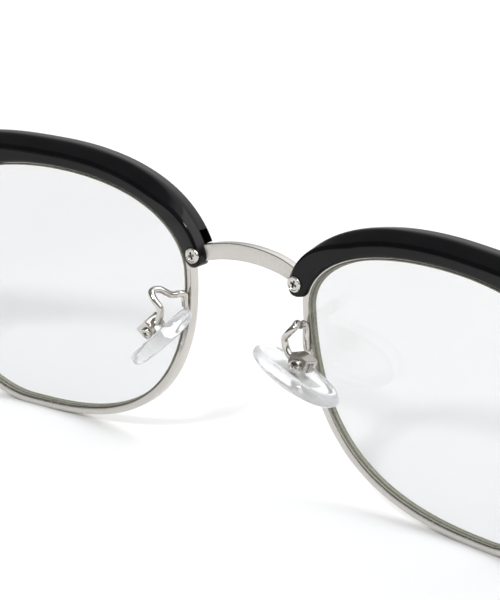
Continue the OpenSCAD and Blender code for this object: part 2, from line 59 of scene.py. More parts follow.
# ---- driving sizes, as in the part's source ----
LENS_GAP, LENS_NOSE, LENS_SIDE = 20.1, 25.5, 26.0
LENS_TOP, LENS_LOW, LENS_THICK, BASE_CURVE, WRAP = 17.7, 18.5, 1.9, 120.0, math.radians(3.3)
WIRE_DEPTH, WIRE_THICK = 1.6, 1.0
BROW_FRONT, BROW_REAR, BROW_TOP, FRONT_HALF = 3.0, 1.3, 2.65, 68.7
BRIDGE_TALL, BRIDGE_THICK, BRIDGE_REACH = 2.28, 1.3, 10.25
PAD_LEN, PAD_WID, PAD_THICK, ARM_DIA = 14.0, 7.6, 2.3, 0.95
TEMPLE_LEN, TEMPLE_STRAIGHT, TEMPLE_TALL, TEMPLE_THICK = 145.0, 88.0, 8.4, 4.0
TEMPLE_SLOPE, TIP_ANGLE, BEND_R = math.radians(3.5), math.radians(29.2), 42.0
FIT_GAP = 0.08
FRONT_Y = -72.6
LENS_X = LENS_NOSE * math.cos(WRAP) + LENS_GAP / 2


# ---- curves ----
def bezier(c, t):
    return (1 - t) ** 3 * c[0] + 3 * (1 - t) ** 2 * t * c[1] + 3 * (1 - t) * t * t * c[2] + t ** 3 * c[3]


def slope(c, t):
    return (1 - t) ** 2 * (c[1] - c[0]) + 2 * (1 - t) * t * (c[2] - c[1]) + t * t * (c[3] - c[2])


def out_dir(d):
    """The direction out of the lens, at right angles to the outline's direction d."""
    return Vector((d.y, -d.x)).normalized()


def rise(x, a, b):
    """A smooth step from 0 at a to 1 at b."""
    t = min(1.0, max(0.0, (x - a) / (b - a)))
    return t * t * (3 - 2 * t)


def smooth_path(points, per):
    """A smooth curve through points, with per steps between two of them."""
    n = len(points) - 1
    path = []
    for i in range(n):
        a, b, c, d = points[max(0, i - 1)], points[i], points[i + 1], points[min(n, i + 2)]
        for k in range(per):
            t = k / per
            path.append(0.5 * (2 * b + (c - a) * t + (2 * a - 5 * b + 4 * c - d) * t * t
                               + (3 * b - 3 * c + d - a) * t ** 3))
    return path + [points[n]]


def rounded(corners, steps=4):
    """The closed polygon of corners (x, y, radius), each corner rounded by a short curve."""
    points = []
    for i, (x, y, r) in enumerate(corners):
        p = Vector((x, y))
        before = Vector(corners[i - 1][:2]) - p
        after = Vector(corners[(i + 1) % len(corners)][:2]) - p
        a = p + before.normalized() * min(r, before.length * 0.48)
        b = p + after.normalized() * min(r, after.length * 0.48)
        for k in range(steps + 1):
            t = k / steps
            points.append((1 - t) ** 2 * a + 2 * (1 - t) * t * p + t * t * b)
    return points


# ---- lens outline: four curves through the temple, top, nose and bottom points ----
SIDE_PT, TOP_PT = Vector((LENS_SIDE, 3)), Vector((-2.3, LENS_TOP))
NOSE_PT, LOW_PT = Vector((-LENS_NOSE, 7)), Vector((5.5, -LENS_LOW))
OUTLINE = [
    [SIDE_PT, SIDE_PT + Vector((0, 8.5)), TOP_PT + Vector((17, 0)), TOP_PT],
    [TOP_PT, TOP_PT - Vector((21.2, 0)), NOSE_PT + Vector((0, 2.8)), NOSE_PT],
    [NOSE_PT, NOSE_PT - Vector((0, 25.7)), LOW_PT - Vector((8, 0)), LOW_PT],
    [LOW_PT, LOW_PT + Vector((10, 0)), SIDE_PT - Vector((0, 11.5)), SIDE_PT],
]


def rim_point(s, n):
    """The outline's point at s (0 temple, 1 top, 2 nose, 3 bottom), moved out by n."""
    s = s % 4
    q = min(3, int(s))
    return bezier(OUTLINE[q], s - q) + n * out_dir(slope(OUTLINE[q], s - q))


def front_point(p, y):
    """A point of the lens plane, y behind the lens's middle surface, in the object's frame."""
    d = y + BASE_CURVE - math.sqrt(BASE_CURVE ** 2 - p.length_squared)
    return Vector((p.x * math.cos(WRAP) - d * math.sin(WRAP) + LENS_X,
                   p.x * math.sin(WRAP) + d * math.cos(WRAP) + FRONT_Y, p.y + LENS_LOW))


# ---- meshes ----
def swept(rings, loop=False):
    """Corners and faces of a solid swept through closed rings of points."""
    m, k = len(rings[0]), len(rings)
    faces = []
    for r in range(k if loop else k - 1):
        a, b = r * m, (r + 1) % k * m
        faces += [(a + i, a + (i + 1) % m, b + (i + 1) % m, b + i) for i in range(m)]
    if not loop:
        faces += [tuple(range(m)), tuple(range((k - 1) * m, k * m))]
    return [p for ring in rings for p in ring], faces


def mesh_object(name, solids, side=1):
    """A mesh object from (corners, faces) solids, mirrored for the right side."""
    bm = bmesh.new()
    for corners, faces in solids:
        made = [bm.verts.new((side * p[0] * MM, p[1] * MM, p[2] * MM)) for p in corners]
        for f in faces:
            bm.faces.new([made[i] for i in f])
    bmesh.ops.recalc_face_normals(bm, faces=bm.faces)
    mesh = bpy.data.meshes.new(name)
    bm.to_mesh(mesh)
    bm.free()
    obj = bpy.data.objects.new(name, mesh)
    bpy.context.scene.collection.objects.link(obj)
    return obj


def bake_modifiers(obj):
    """Applies the modifiers to the mesh."""
    graph = bpy.context.evaluated_depsgraph_get()
    mesh = bpy.data.meshes.new_from_object(obj.evaluated_get(graph))
    obj.modifiers.clear()
    obj.data = mesh


def cut(obj, cutters, join=False):
    """Takes the cutters out of obj, or joins them to it, and leaves one clean mesh."""
    for cutter in cutters:
        mod = obj.modifiers.new("cut", "BOOLEAN")
        mod.operation = "UNION" if join else "DIFFERENCE"
        mod.solver = "EXACT"
        mod.object = cutter
    bake_modifiers(obj)
    for cutter in cutters:
        bpy.data.objects.remove(cutter)


def tidy_shading(obj, angle=32):
    """Merges doubled corners and shades the mesh smooth, apart from edges sharper than angle."""
    bm = bmesh.new()
    bm.from_mesh(obj.data)
    bmesh.ops.remove_doubles(bm, verts=bm.verts, dist=2e-6)
    bmesh.ops.dissolve_degenerate(bm, edges=bm.edges, dist=1e-6)
    bm.to_mesh(obj.data)
    bm.free()
    obj.data.polygons.foreach_set("use_smooth", [True] * len(obj.data.polygons))
    obj.data.set_sharp_from_angle(angle=math.radians(angle))


def bevel(obj, width, segments=2, angle=40):
    mod = obj.modifiers.new("edges", "BEVEL")
    mod.width = width * MM
    mod.segments = segments
    mod.limit_method = "ANGLE"
    mod.angle_limit = math.radians(angle)
    mod.harden_normals = False


def finish_piece(obj, node, body, slot, *materials):
    """Gives the piece its materials and moving body, and hides the CAD node; slot is not used."""
    for m in materials:
        obj.data.materials.append(m)
    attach(obj, body)
    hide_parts(node)
    return obj


def box_solid(lo, hi):
    corners = [Vector((x, y, z)) for x in (lo[0], hi[0]) for y in (lo[1], hi[1]) for z in (lo[2], hi[2])]
    return corners, [(0, 1, 3, 2), (4, 6, 7, 5), (0, 4, 5, 1), (2, 3, 7, 6), (0, 2, 6, 4), (1, 5, 7, 3)]


def lathe(profile, around=32):
    """A solid turned about +Z from (radius, height) points."""
    rings = [[Vector((max(r, 0.01) * math.cos(math.tau * k / around),
                      max(r, 0.01) * math.sin(math.tau * k / around), z)) for k in range(around)]
             for r, z in profile]
    return swept(rings)


def moved(solid, matrix):
    return [matrix @ Vector(p) for p in solid[0]], solid[1]


def in_front(solid):
    """A solid given from the front's own origin, put in the object's frame."""
    return moved(solid, Matrix.Translation((0, FRONT_Y, LENS_LOW)))


# ---- materials ----
def material(name, **values):
    """A Principled material with an object-space coordinate node, and its node tree's tools."""
    mat = bpy.data.materials.new(name)
    mat.use_nodes = True
    nodes, links = mat.node_tree.nodes, mat.node_tree.links
    shader = nodes["Principled BSDF"]
    for key, value in values.items():
        shader.inputs[key.replace("_", " ")].default_value = value
    coord = nodes.new("ShaderNodeTexCoord")
    return mat, nodes, links, shader, coord.outputs["Object"]


def noise(nodes, links, coord, scale, detail=3, stretch=(1, 1, 1)):
    mapping = nodes.new("ShaderNodeMapping")
    mapping.inputs["Scale"].default_value = stretch
    tex = nodes.new("ShaderNodeTexNoise")
    tex.inputs["Scale"].default_value = scale
    tex.inputs["Detail"].default_value = detail
    links.new(coord, mapping.inputs["Vector"])
    links.new(mapping.outputs["Vector"], tex.inputs["Vector"])
    return tex.outputs["Fac"]


def spread(nodes, links, factor, low, high):
    """The factor turned into a number between low and high."""
    node = nodes.new("ShaderNodeMapRange")
    node.inputs["From Min"].default_value = 0.3
    node.inputs["From Max"].default_value = 0.7
    node.inputs["To Min"].default_value = low
    node.inputs["To Max"].default_value = high
    links.new(factor, node.inputs["Value"])
    return node.outputs["Result"]


def tint(nodes, links, factor, dark, light):
    ramp = nodes.new("ShaderNodeValToRGB")
    ramp.color_ramp.elements[0].position = 0.35
    ramp.color_ramp.elements[1].position = 0.65
    ramp.color_ramp.elements[0].color = (*dark, 1)
    ramp.color_ramp.elements[1].color = (*light, 1)
    links.new(factor, ramp.inputs["Fac"])
    return ramp.outputs["Color"]


def bump(nodes, links, factor, shader, strength, distance):
    node = nodes.new("ShaderNodeBump")
    node.inputs["Strength"].default_value = strength
    node.inputs["Distance"].default_value = distance
    links.new(factor, node.inputs["Height"])
    links.new(node.outputs["Normal"], shader.inputs["Normal"])


def let_lamps_through(nodes, links, shader, colour):
    """Light on its way to other surfaces passes the thin clear part straight."""
    clear = nodes.new("ShaderNodeBsdfTransparent")
    clear.inputs["Color"].default_value = colour
    path = nodes.new("ShaderNodeLightPath")
    either = nodes.new("ShaderNodeMath")
    either.operation = "MAXIMUM"
    mix = nodes.new("ShaderNodeMixShader")
    links.new(path.outputs["Is Shadow Ray"], either.inputs[0])
    links.new(path.outputs["Is Diffuse Ray"], either.inputs[1])
    links.new(either.outputs["Value"], mix.inputs["Fac"])
    links.new(shader.outputs["BSDF"], mix.inputs[1])
    links.new(clear.outputs["BSDF"], mix.inputs[2])
    links.new(mix.outputs["Shader"], nodes["Material Output"].inputs["Surface"])


def acetate_material():
    """Black acetate, hand polished: faint waviness and fine handling marks in the gloss."""
    mat, nodes, links, shader, coord = material("acetate_black", IOR=1.49, Specular_IOR_Level=0.2)
    wave = noise(nodes, links, coord, 260, 2)
    marks = noise(nodes, links, coord, 5200, 4)
    links.new(tint(nodes, links, wave, (0.0030, 0.0030, 0.0036), (0.0042, 0.0042, 0.0050)),
              shader.inputs["Base Color"])
    links.new(spread(nodes, links, marks, 0.06, 0.12), shader.inputs["Roughness"])
    bump(nodes, links, wave, shader, 0.08, 0.00004)
    return mat


def nickel_material(name, base, low, high, bump_strength):
    """Polished nickel silver: warm, with a faint cloud in its polish."""
    mat, nodes, links, shader, coord = material(name, Metallic=1.0)
    cloud = noise(nodes, links, coord, 900, 4)
    links.new(tint(nodes, links, cloud, tuple(c * 0.94 for c in base), base), shader.inputs["Base Color"])
    links.new(spread(nodes, links, cloud, low, high), shader.inputs["Roughness"])
    bump(nodes, links, noise(nodes, links, coord, 2600, 2), shader, bump_strength, 0.00002)
    return mat


def brushed_material(name, base, stretch):
    mat, nodes, links, shader, coord = material(name, Metallic=1.0)
    grain = noise(nodes, links, coord, 3000, 3, stretch)
    links.new(tint(nodes, links, grain, tuple(c * 0.86 for c in base), base), shader.inputs["Base Color"])
    links.new(spread(nodes, links, grain, 0.3, 0.45), shader.inputs["Roughness"])
    bump(nodes, links, grain, shader, 0.15, 0.00001)
    return mat


def lens_material():
    """Clear coated lens: a light cool tint, hardly varying across the lens."""
    mat, nodes, links, shader, coord = material("lens_clear", Transmission_Weight=1.0, Roughness=0.0, IOR=1.5)
    cloud = noise(nodes, links, coord, 30, 2)
    links.new(tint(nodes, links, cloud, (0.779, 0.783, 0.789), (0.789, 0.793, 0.799)),
              shader.inputs["Base Color"])
    let_lamps_through(nodes, links, shader, (0.93, 0.945, 0.955, 1))
    return mat


def edge_tint_and_shade_material():
    """The lens's ground edge: frosted; its olive is the edge's own tint, its darkness is painted shade and
    painted reflection of the metal channel it sits in.
    """
    mat, nodes, links, shader, coord = material("lens_edge_tint_and_shade", IOR=1.5)
    grind = noise(nodes, links, coord, 4200, 4)
    # Dark olive base colour: the olive is the edge's tint, the darkness is painted shade and painted
    # reflection of the eyewire channel
    links.new(tint(nodes, links, grind, (0.17, 0.165, 0.12), (0.32, 0.315, 0.24)),
              shader.inputs["Base Color"])
    links.new(spread(nodes, links, grind, 0.35, 0.6), shader.inputs["Roughness"])
    bump(nodes, links, grind, shader, 0.3, 0.00003)
    return mat


def silicone_material():
    """Clear silicone with a slight haze and soft mould texture."""
    mat, nodes, links, shader, coord = material("silicone_clear", Transmission_Weight=0.81, IOR=1.41)
    haze = noise(nodes, links, coord, 700, 3)
    links.new(tint(nodes, links, haze, (0.965, 0.97, 0.98), (0.985, 0.99, 0.995)),
              shader.inputs["Base Color"])
    links.new(spread(nodes, links, haze, 0.03, 0.08), shader.inputs["Roughness"])
    bump(nodes, links, haze, shader, 0.12, 0.00005)
    let_lamps_through(nodes, links, shader, (0.88, 0.9, 0.91, 1))
    return mat


NICKEL = (0.595, 0.571, 0.538)
LOOK = {
    "acetate": acetate_material(),
    "metal": nickel_material("nickel_polished", NICKEL, 0.20, 0.28, 0.05),
    "screw_metal": nickel_material("nickel_screw", (0.62, 0.595, 0.56), 0.08, 0.16, 0.08),
    "insert_metal": brushed_material("insert_satin", (0.86, 0.86, 0.85), (1, 0.1, 1)),
    "core_wire": brushed_material("core_satin", (0.55, 0.54, 0.53), (1, 0.1, 1)),
    "lens": lens_material(),
    "silicone": silicone_material(),
}
EDGE_TINT_AND_SHADE = edge_tint_and_shade_material()
# A dark copy of the nickel for the screws' cross recesses: painted shade
RECESS_SHADE_METAL = nickel_material("nickel_recess_painted_shade", (0.20, 0.19, 0.175), 0.3, 0.45, 0.05)
FINE_NICKEL = nickel_material("nickel_fine", (0.60, 0.572, 0.535), 0.07, 0.14, 0.04)

SLOT_OF = {p["node"]: p["material_slot"] for p in frame["record"]["subparts"]}
for node_name, node_object in frame["nodes"].items():
    node_object.data.materials.clear()
    node_object.data.materials.append(LOOK[SLOT_OF[node_name]])


# ---- lenses ----
LENS_AROUND, LENS_RINGS = 240, 22
# Distance out from the outline, and behind the middle surface, of the ground edge's corners
EDGE_PROFILE = [(-1.19, 0.95), (-1.06, 0.82), (-1.06, 0.32), (-0.62, 0.28), (-0.58, 0.2)]


def lens_piece(side_name, side):
    """A meniscus lens: two spherical faces and a ground edge whose tongue sits in the eyewire."""
    def surface_ring(share, half):
        edge = EDGE_PROFILE[0][0]
        ring = []
        for k in range(LENS_AROUND):
            p = rim_point(4 * k / LENS_AROUND, edge) * share
            r = BASE_CURVE - half
            d = BASE_CURVE - math.sqrt(r * r - p.length_squared)
            ring.append(front_point(Vector((0, 0)), 0) + Vector((
                p.x * math.cos(WRAP) - d * math.sin(WRAP), p.x * math.sin(WRAP) + d * math.cos(WRAP), p.y)))
        return ring
    half = LENS_THICK / 2
    faces_in = [math.sin(math.pi / 2 * (i + 1) / LENS_RINGS) for i in range(LENS_RINGS)]
    rings = [surface_ring(0.004, half)] + [surface_ring(f, half) for f in faces_in]
    edge = EDGE_PROFILE[1:] + [(n, -y) for n, y in reversed(EDGE_PROFILE[1:])]
    for n, y in edge:
        around = [rim_point(4 * k / LENS_AROUND, n) for k in range(LENS_AROUND)]
        rings.append([front_point(p, y) for p in around])
    rings += [surface_ring(f, -half) for f in reversed(faces_in)] + [surface_ring(0.004, -half)]
    obj = mesh_object("clear_lens_" + side_name, [swept(rings)], side)
    tidy_shading(obj, 25)
    finish_piece(obj, "lens_" + side_name, "front", "lens", LOOK["lens"], EDGE_TINT_AND_SHADE)
    first = LENS_RINGS * LENS_AROUND
    last = first + (len(edge) + 1) * LENS_AROUND
    for f in obj.data.polygons:
        f.material_index = 1 if first <= f.index < last else 0


# ---- eyewires ----
WIRE_STEPS = 240
SPLIT_AT, SPLIT_GAP = 0.07, 0.004
GROOVE_HALF, GROOVE_FLOOR = 0.38, WIRE_THICK / 2


def eyewire_piece(side_name, side):
    """A channel bent round the lens, its corners softened, open at the split."""
    h = WIRE_DEPTH / 2
    section = rounded([(0, -h, 0.22), (0, h, 0.22), (-WIRE_THICK, h, 0.12),
                       (-WIRE_THICK, GROOVE_HALF + 0.1, 0.05),
                       (-GROOVE_FLOOR, GROOVE_HALF, 0.05), (-GROOVE_FLOOR, -GROOVE_HALF, 0.05),
                       (-WIRE_THICK, -GROOVE_HALF - 0.1, 0.05), (-WIRE_THICK, -h, 0.12)], 2)
    rings = []
    for k in range(WIRE_STEPS + 1):
        s = SPLIT_AT + SPLIT_GAP + (4 - 2 * SPLIT_GAP) * k / WIRE_STEPS
        rings.append([front_point(rim_point(s, q.x), q.y) for q in section])
    obj = mesh_object("rim_channel_" + side_name, [swept(rings)], side)
    tidy_shading(obj)
    finish_piece(obj, "eyewire_" + side_name, "front", "metal", LOOK["metal"])


# ---- bridge ----
def bridge_mid(x):
    """The strip's middle line: arched, its ends bending back to the eyewires."""
    y = 0.3 + 0.6 * min(1.35, (abs(x) / 8) ** 4)
    return Vector((x, y, 11.3 - 1.02 * (abs(x) / 7.5) ** 2))


def bridge_solid(g, steps=96, soft=0.0):
    """The strip grown by g all round, its rear edges rounded by soft."""
    h, w = BRIDGE_TALL / 2 + g, BRIDGE_THICK / 2 + g
    section = rounded([(-w, -h, 0.3), (w, -h, soft), (w, h, soft), (-w, h, 0.3)], 3)
    rings = []
    for k in range(steps + 1):
        m = bridge_mid((BRIDGE_REACH + g) * (2 * k / steps - 1))
        rings.append([Vector((m.x, m.y + q.x + FRONT_Y, m.z + q.y + LENS_LOW)) for q in section])
    return swept(rings)


def wire_room(steps=240):
    """The room that the eyewire and the lens take up inside the brow."""
    h, m, n, deep = WIRE_DEPTH / 2 + 0.03, LENS_THICK / 2 + 0.07, -WIRE_THICK, -3.5
    section = [(0.03, -h), (0.03, h), (n, h), (n, m), (deep, m), (deep, -m), (n, -m), (n, -h)]
    return swept([[front_point(rim_point(4 * k / steps, q[0]), q[1]) for q in section]
                  for k in range(steps)], loop=True)


def bridge_piece():
    """The bent strip, its ends shaped to the eyewires."""
    obj = mesh_object("bent_bridge", [bridge_solid(0, soft=0.14)])
    cut(obj, [mesh_object("room", [wire_room()], side) for side in (1, -1)])
    tidy_shading(obj, 40)
    finish_piece(obj, "bridge", "front", "metal", LOOK["metal"])


# ---- brows ----
NOSE_END, LEAVE_AT, BUTT_Y = 1.897, 0.6, 8.0
LEAVE_PT = rim_point(LEAVE_AT, 0)
LEAVE_DIR = -slope(OUTLINE[0], LEAVE_AT).normalized()
END_PT = Vector((FRONT_HALF - LENS_X + 0.3, 10.6))
BROW_END = [LEAVE_PT, LEAVE_PT + 7 * LEAVE_DIR, END_PT - Vector((6.5, -0.8)), END_PT]
NOSE_SCREW, SIDE_SCREW = (9.02, 2.72, 9.82), (60.1, BUTT_Y, 12.2)
HINGE_AT, HINGE_Z = (63.5, 9.4), 11.8
PLATE_LO, PLATE_HI = (58.6, BUTT_Y - 1.0, 6.0), (64.7, BUTT_Y, 15.4)
LOCK_X, LOCK_Y, LOCK_Z, LOCK_TALL = (60.9, 64.5), 4.6, 4.7, 2.1
BROW_RINGS, END_RINGS, TAB_RINGS = 110, 40, 22
# The nose end is rounded over TAB_ROUND, about a line TAB_MIDDLE out from the outline
TAB_ROUND, TAB_POWER, TAB_MIDDLE = 1.9, 2.6, 1.0
# The thick front of the brow stops at the step; the notch above it is where the bridge enters
NOTCH_AT, STEP_AT = 1.648, 1.735


def brow_section(p, o, f):
    """The brow's section round p, out direction o; f is near 0 at the rounded nose end."""
    outer = rise(p.x, 8, 30)
    hi = BROW_TOP + 2.7 * rise(p.x, 0, 30)
    lip = 0.90 + 2.2 * outer
    low = 1.0 + 2.0 * outer - 0.9 * rise(-p.x, 14, 21)
    back = front_point(p, 0).y - FRONT_Y
    rear = BROW_REAR - 0.05 + (BUTT_Y - back - BROW_REAR) * rise(p.x, 12, 22) - 0.15 * rise(-p.x, 21, 25)
    at_tab = rise(-p.x, 16.5, 24.5)
    near_nose = rise(-p.x, 6, 14)
    # How far the ridge of the rear face lies under its place at the ends
    drop = 0.75 * (1 - rise(p.x, 10, 20)) * (1 - at_tab)
    corners = [(-lip, rear - 0.35, 0.25),
               (-lip + 0.3, rear, 0.3),
               (hi - 1.3 + 0.75 * at_tab - drop, rear - 0.4 + 0.34 * at_tab + 0.3 * drop, 0.12),
               (hi - 0.6 + 0.45 * at_tab - drop, rear - 0.45, 0.14),
               (hi - 0.12 + 0.2 * near_nose, -0.75, 0.7),
               (hi, -1.9, 0.6),
               (hi - 0.16, 0.28 - BROW_FRONT, 0.45),
               (hi - 1.1, -BROW_FRONT, 0.4),
               (0.5 - low, -BROW_FRONT, 0.3),
               (-low, 0.4 - BROW_FRONT, 0.3),
               (-low, -1.1, 0.02)]
    return [front_point(p + (TAB_MIDDLE + (q.x - TAB_MIDDLE) * f) * o, q.y) for q in rounded(corners)]


def along_rim(s_from, s_to, n_lo, n_hi, y_lo, y_hi, steps=24):
    """A bar that follows the rim between two places, for cutting the brow."""
    ends = [(n_lo, y_lo), (n_hi, y_lo), (n_hi, y_hi), (n_lo, y_hi)]
    return swept([[front_point(rim_point(s_from + (s_to - s_from) * k / steps, n), y) for n, y in ends]
                  for k in range(steps + 1)])


def brow_piece(side_name, side):
    """The black bar over the rim, with room for the rim, bridge, screw, endpiece and rim lock."""
    start = rim_point(NOSE_END, 0)
    rings = []
    params = [NOSE_END - 0.0004 - 0.09 * (i / TAB_RINGS) ** 2 for i in range(TAB_RINGS)]
    last = params[-1]
    params += [last + (LEAVE_AT - last) * (k + 1) / BROW_RINGS for k in range(BROW_RINGS)]
    for s in params:
        q = int(s)
        a = max((rim_point(s, 0) - start).length, 0.02)
        f = 1.0 if a >= TAB_ROUND else (1 - ((TAB_ROUND - a) / TAB_ROUND) ** TAB_POWER) ** (1 / TAB_POWER)
        rings.append(brow_section(rim_point(s, 0), out_dir(slope(OUTLINE[q], s - q)), f))
    for k in range(1, END_RINGS + 1):
        t = k / END_RINGS
        rings.append(brow_section(bezier(BROW_END, t), -out_dir(slope(BROW_END, t)), 1.0))
    obj = mesh_object("brow_shell_" + side_name, [swept(rings)], side)
    gap = Vector((FIT_GAP,) * 3)
    rooms = [
        wire_room(),
        bridge_solid(0.06),
        moved(lathe([(1.2, 0), (1.2, 1.5)], 40), rearward(NOSE_SCREW)),
        along_rim(STEP_AT, 2.1, -3.0, 4.0, -4.5, -0.95),
        along_rim(NOTCH_AT, STEP_AT + 0.004, BROW_TOP - 1.5, 4.0, -2.6, -0.85),
        in_front(box_solid(Vector(PLATE_LO) - gap, Vector(PLATE_HI) + gap)),
        in_front(box_solid((-1, BUTT_Y, -1), (FRONT_HALF + 2, BUTT_Y + 8, 40))),
        in_front(box_solid((FRONT_HALF, -10, -1), (FRONT_HALF + 5, 20, 40))),
        in_front(box_solid((LOCK_X[0] - 0.3, LOCK_Y - 1.4, LOCK_Z - LOCK_TALL - 1),
                           (LOCK_X[1] + 0.2, LOCK_Y + 1.4, LOCK_Z + LOCK_TALL + 0.3))),
    ]
    cut(obj, [mesh_object("room", [room], side) for room in rooms])
    tidy_shading(obj, 34)
    finish_piece(obj, "brow_" + side_name, "front", "acetate", LOOK["acetate"])


# ---- screws ----
def screw_piece(name, node, body, head_r, head_h, shank_r, shank_len, place, side, turn=0.35):
    """A screw with a domed head, a rounded rim and a cross recess painted dark with shade, its head along +Z
    of place.
    """
    profile = [(0, -shank_len), (shank_r * 0.9, -shank_len), (shank_r, -shank_len + 0.1), (shank_r, 0),
               (head_r * 0.94, 0), (head_r, head_h * 0.12), (head_r, head_h * 0.5),
               (head_r * 0.96, head_h * 0.8), (head_r * 0.88, head_h * 0.96),
               (head_r * 0.80, head_h), (head_r * 0.74, head_h * 0.96),
               (head_r * 0.68, head_h * 0.80), (head_r * 0.4, head_h * 0.84), (0, head_h * 0.86)]
    obj = mesh_object(name, [moved(lathe(profile, 40), place)], side)
    wing, half = head_r * 0.62, head_r * 0.15
    deep = head_h * 0.75
    recess = []
    for a in (turn, turn + math.pi / 2):
        wedge = box_solid((-wing, -half, head_h - deep), (wing, half, head_h + 0.2))
        for p in wedge[0]:
            if p.z < head_h:
                p.x *= 0.6
        recess.append(moved(wedge, place @ Matrix.Rotation(a, 4, "Z")))
    recess.append(moved(lathe([(0, head_h - deep * 1.1), (half * 2.4, head_h + 0.2)], 16), place))
    cut(obj, [mesh_object("recess", [r], side) for r in recess])
    tidy_shading(obj, 35)
    finish_piece(obj, node, body, "screw_metal", LOOK["screw_metal"], RECESS_SHADE_METAL)
    # The faces inside the cross recess take the dark nickel: painted shade in the recess
    to_screw = place.inverted()
    for face in obj.data.polygons:
        at = to_screw @ Vector((side * face.center.x / MM, face.center.y / MM, face.center.z / MM))
        recess_shade_faces = 0.05 < at.z < head_h * 0.79 and at.xy.length < head_r * 0.66
        face.material_index = 1 if recess_shade_faces else 0


def rearward(at):
    """A place whose +Z points to the rear, at a point given from the front's own origin."""
    return (Matrix.Translation((at[0], at[1] + FRONT_Y, at[2] + LENS_LOW))
            @ Matrix.Rotation(-math.pi / 2, 4, "X"))


# ---- temples ----
TEMPLE_IN = 64.9
TEMPLE_Y = BUTT_Y + 0.2
BEND_LEN = BEND_R * (TIP_ANGLE - TEMPLE_SLOPE)
TIP_LEAN, LEAN_FROM = 3, 90
TEMPLE_RINGS, TEMPLE_AROUND, TIP_RINGS = 110, 40, 16
LEAF_X, LEAF_FROM, LEAF_END, LEAF_TALL = (64.3, 65.3), 0.6, 19.0, 4.2
CORE_FROM, CORE_TO = -1.0, 128.0


def bend_at(s):
    """How far the temple has turned down at length s."""
    return min(BEND_LEN, max(0.0, s - TEMPLE_STRAIGHT)) / BEND_R


def temple_mid(s):
    """Middle line of the temple at length s: back, down, and its lean towards the head."""
    a, b = TEMPLE_SLOPE, bend_at(s)
    rest = max(0.0, s - TEMPLE_STRAIGHT - BEND_LEN)
    straight = min(s, TEMPLE_STRAIGHT)
    return (straight * math.cos(a) + BEND_R * (math.sin(a + b) - math.sin(a)) + rest * math.cos(a + b),
            -straight * math.sin(a) - BEND_R * (math.cos(a) - math.cos(a + b)) - rest * math.sin(a + b),
            TIP_LEAN * (max(0.0, s - LEAN_FROM) / (TEMPLE_LEN - LEAN_FROM)) ** 2)


def squircle(k, sides, power=0.55):
    """A point of a square with well rounded corners."""
    c, d = math.cos(math.tau * k / sides), math.sin(math.tau * k / sides)
    return math.copysign(abs(c) ** power, c), math.copysign(abs(d) ** power, d)


def bar_ring(s, w, h, x, sides):
    """The temple's section at length s, w wide and h tall."""
    m = temple_mid(max(s, 0.0))
    back = m[0] + min(s, 0.0)
    a = TEMPLE_SLOPE + bend_at(s)
    # The end at the hinge is upright, like the brow's end, and over 3 mm the section turns to face the run
    tilt = min(1.0, max(0.0, s / 3))
    ring = []
    for k in range(sides):
        q = squircle(k + 0.5, sides)
        ring.append(Vector((x - m[2] + q[0] * w / 2,
                            TEMPLE_Y + back + q[1] * h / 2 * math.sin(a) * tilt + FRONT_Y,
                            HINGE_Z + m[1] + q[1] * h / 2 * math.cos(a) + LENS_LOW)))
    return ring


def temple_piece(side_name, side):
    """A bar that slims back from the hinge and bends down behind the ear to a round tip."""
    tip = 5.0
    body = TEMPLE_LEN - tip
    lengths = [body * k / TEMPLE_RINGS for k in range(TEMPLE_RINGS + 1)]
    lengths += [body + tip * math.sin(math.pi / 2 * k / TIP_RINGS) for k in range(1, TIP_RINGS + 1)]
    rings = []
    for s in lengths:
        e = 1.0 if s <= body else math.sqrt(max(0.0004, 1 - ((s - TEMPLE_LEN + tip) / tip) ** 2))
        w = TEMPLE_THICK - 0.08 - 1.0 * rise(s, 10, 80)
        h = TEMPLE_TALL - 3.6 * rise(s, 4, 62) + 0.9 * rise(s, 96, 138)
        rings.append(bar_ring(s, w * e, h * e, TEMPLE_IN + TEMPLE_THICK / 2, TEMPLE_AROUND))
    obj = mesh_object("temple_bar_" + side_name, [swept(rings)], side)
    g = FIT_GAP
    leaf = in_front(box_solid((LEAF_X[0], HINGE_AT[1] + LEAF_FROM - g, HINGE_Z - LEAF_TALL / 2 - g),
                              (LEAF_X[1] + g, LEAF_END + g, HINGE_Z + LEAF_TALL / 2 + g)))
    core = swept([bar_ring(CORE_FROM + (CORE_TO + g - CORE_FROM) * k / 60, 1.0 + 2 * g, 2.0 + 2 * g,
                           TEMPLE_IN + TEMPLE_THICK / 2 + 0.6, 4) for k in range(61)])
    cut(obj, [mesh_object("room", [room], side) for room in (leaf, core)])
    tidy_shading(obj, 34)
    finish_piece(obj, "temple_" + side_name, "temple_" + side_name, "acetate", LOOK["acetate"])


# ---- pad arms ----
ARM = [(10.7, 2.55, 4.1), (10.8, 3.3, 4.65), (11.2, 4.5, 4.75), (12.0, 5.8, 5.6), (12.45, 6.8, 5.4),
       (11.7, 7.1, 4.5), (10.9, 6.9, 3.55), (11.0, 6.8, 2.4), (11.6, 6.7, 1.4)]
ARM_SHIFT = 0.3
FOOT_LOW = {1: 2.1, -1: 0.9}
BOX_AT = {1: (13.1, 6.25, -0.2), -1: (13.2, 6.2, 0.75)}
# Splay, turn and lean of each pad at rest, in degrees
POSE = {1: (48, 17, -11), -1: (70, -13, 0)}
BOX_HALF = 1.3


def pad_place(side):
    """The pad's own frame: +X to its mount side, +Y along its screw, +Z up its length."""
    splay, turn, lean = (math.radians(a) for a in POSE[side])
    at = Vector(BOX_AT[side]) + Vector((0, FRONT_Y, LENS_LOW))
    return (Matrix.Translation(at) @ Matrix.Rotation(-splay, 4, "Y") @ Matrix.Rotation(turn, 4, "Z")
            @ Matrix.Rotation(lean, 4, "X"))


